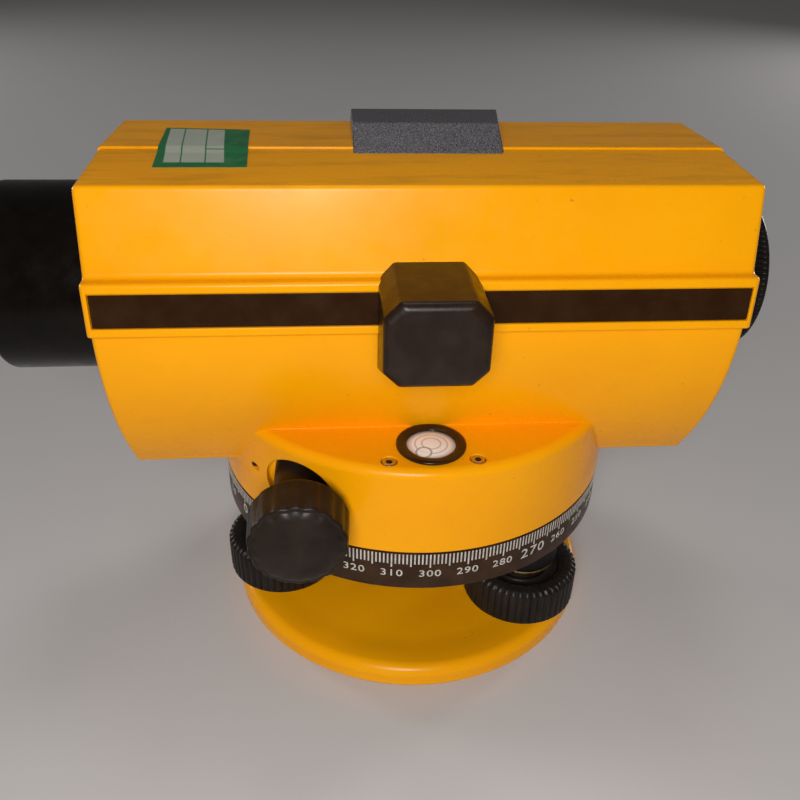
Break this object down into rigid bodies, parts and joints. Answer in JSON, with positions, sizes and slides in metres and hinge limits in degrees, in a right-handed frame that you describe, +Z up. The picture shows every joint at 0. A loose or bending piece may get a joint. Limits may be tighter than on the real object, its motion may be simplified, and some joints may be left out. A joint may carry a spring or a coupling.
{
  "type": "surveying level",
  "caption": "Automatic optical level: faceted orange telescope casting on a round turret with a degree circle, drive and focus knobs, bubble prism box, and foot screws on a round base plate.",
  "frame": {"origin": "centre of the tripod thread on the underside of the base plate", "axes": "+Z up along the vertical spindle, -X towards the objective and +X towards the eyepiece, -Y towards the side with the circular vial"},
  "size_m": [0.2025, 0.1386, 0.1504],
  "materials": {
    "paint": "glossy orange-yellow paint over cast aluminium",
    "black_metal": "satin black anodising",
    "black_plastic": "moulded, charcoal black",
    "stripe": "glossy dark brown strip",
    "steel": "turned steel",
    "bronze": "turned bronze",
    "bare_aluminium": "bare machined",
    "nylon": "moulded nylon",
    "optics": "polished optical glass"
  },
  "bodies": {
    "base": {"base_plate": "paint", "spring_plate": "steel", "spring_screw_1": "steel", "spring_screw_2": "steel", "spring_screw_3": "steel", "ball_seat_1": "nylon"},
    "foot_screw_1": {"foot_stud_1": "steel", "foot_knob_1": "black_plastic"},
    "foot_screw_2": {"foot_stud_2": "steel", "foot_knob_2": "black_plastic"},
    "foot_screw_3": {"foot_stud_3": "steel", "foot_knob_3": "black_plastic"},
    "tilt_stage_1": {"ball_seat_2": "nylon"},
    "tilt_stage_2": {"ball_seat_3": "nylon"},
    "tribrach": {"tribrach": "paint", "foot_nut_1": "bronze", "foot_nut_2": "bronze", "foot_nut_3": "bronze", "spindle_bush": "bronze", "friction_washer": "steel"},
    "circle": {"horizontal_circle": "black_metal"},
    "instrument": {"housing": "paint", "spindle": "steel", "spindle_nut": "steel", "top_cover": "paint", "sight": "black_plastic", "side_stripe": "stripe", "prism_box": "black_metal", "bubble_prism": "optics", "vial_cup": "bare_aluminium", "vial_glass": "optics", "vial_bezel": "black_metal", "vial_screw_left": "steel", "vial_screw_right": "steel", "shaft_bush_near": "bronze", "shaft_bush_far": "bronze", "objective_barrel": "black_metal", "objective_ring": "black_metal", "crown_lens": "optics", "flint_lens": "optics", "focus_guide": "black_metal", "focus_bush": "bronze", "compensator_frame": "bare_aluminium", "damping_magnet": "steel", "eyepiece_tube": "black_metal", "reticle": "optics"},
    "drive": {"worm_shaft": "steel", "drive_knob_near": "black_plastic", "drive_knob_far": "black_plastic"},
    "wheel": {"worm_wheel": "bronze"},
    "focus": {"focus_shaft": "steel", "focus_knob": "black_plastic"},
    "focus_carriage": {"focus_cell": "bronze", "focus_lens": "optics"},
    "compensator": {"pendulum": "bronze", "pendulum_prism": "optics"},
    "eyepiece": {"eyepiece_cell": "black_metal", "eye_lens": "optics"},
    "dioptre": {"dioptre_ring": "black_plastic"}
  },
  "joints": [
    {"name": "foot_turn_1", "type": "hinge", "parent": "base", "child": "foot_screw_1", "pos_m": [0.03181, -0.02967, 0.0072], "axis": [0, 0, 1], "range_deg": [-540, 540]},
    {"name": "foot_turn_2", "type": "hinge", "parent": "base", "child": "foot_screw_2", "pos_m": [0.00979, 0.04238, 0.0072], "axis": [0, 0, 1], "range_deg": [-540, 540]},
    {"name": "foot_turn_3", "type": "hinge", "parent": "base", "child": "foot_screw_3", "pos_m": [-0.0416, -0.01272, 0.0072], "axis": [0, 0, 1], "range_deg": [-540, 540]},
    {"name": "tilt_by_foot_1", "type": "hinge", "parent": "base", "child": "tilt_stage_1", "pos_m": [-0.01591, 0.01483, 0.0072], "axis": [-0.682, -0.7314, 0], "range_deg": [-0.98, 0.98]},
    {"name": "tilt_by_foot_2", "type": "hinge", "parent": "tilt_stage_1", "child": "tilt_stage_2", "pos_m": [-0.00489, -0.02119, 0.0072], "axis": [0.9744, -0.225, 0], "range_deg": [-0.98, 0.98]},
    {"name": "tilt_by_foot_3", "type": "hinge", "parent": "tilt_stage_2", "child": "tribrach", "pos_m": [0.0208, 0.00636, 0.0072], "axis": [-0.2924, 0.9563, 0], "range_deg": [-0.98, 0.98]},
    {"name": "circle_turn", "type": "hinge", "parent": "tribrach", "child": "circle", "pos_m": [0, 0, 0.048], "axis": [0, 0, 1], "continuous": true},
    {"name": "instrument_turn", "type": "hinge", "parent": "tribrach", "child": "instrument", "pos_m": [0, 0, 0.06], "axis": [0, 0, 1], "continuous": true},
    {"name": "drive_turn", "type": "hinge", "parent": "instrument", "child": "drive", "pos_m": [-0.0333, 0, 0.0672], "axis": [0, 1, 0], "continuous": true},
    {"name": "wheel_turn", "type": "hinge", "parent": "instrument", "child": "wheel", "pos_m": [0, 0, 0.0672], "axis": [0, 0, 1], "continuous": true},
    {"name": "focus_turn", "type": "hinge", "parent": "instrument", "child": "focus", "pos_m": [-0.031, 0, 0.1185], "axis": [0, 1, 0], "range_deg": [-229, 229]},
    {"name": "focus_travel", "type": "slide", "parent": "instrument", "child": "focus_carriage", "axis": [1, 0, 0], "range_m": [-0.0119, 0.0119]},
    {"name": "compensator_swing", "type": "hinge", "parent": "instrument", "child": "compensator", "pos_m": [0.023, 0, 0.1304], "axis": [0, 1, 0], "range_deg": [-0.33, 0.33]},
    {"name": "eyepiece_travel", "type": "slide", "parent": "instrument", "child": "eyepiece", "axis": [1, 0, 0], "range_m": [-0.00118, 0.00118]},
    {"name": "dioptre_turn", "type": "hinge", "parent": "eyepiece", "child": "dioptre", "pos_m": [0.083, 0, 0.1077], "axis": [1, 0, 0], "range_deg": [-149, 149]}
  ],
  "couplings": [
    {"joint": "foot_turn_1", "follows": "tilt_by_foot_1", "ratio": -546.64},
    {"joint": "foot_turn_2", "follows": "tilt_by_foot_2", "ratio": -546.64},
    {"joint": "foot_turn_3", "follows": "tilt_by_foot_3", "ratio": -546.64},
    {"joint": "wheel_turn", "follows": "drive_turn", "ratio": 0.02},
    {"joint": "focus_turn", "follows": "focus_travel", "rad_per_m": -333.33},
    {"joint": "dioptre_turn", "follows": "eyepiece_travel", "rad_per_m": 2181.7}
  ]
}
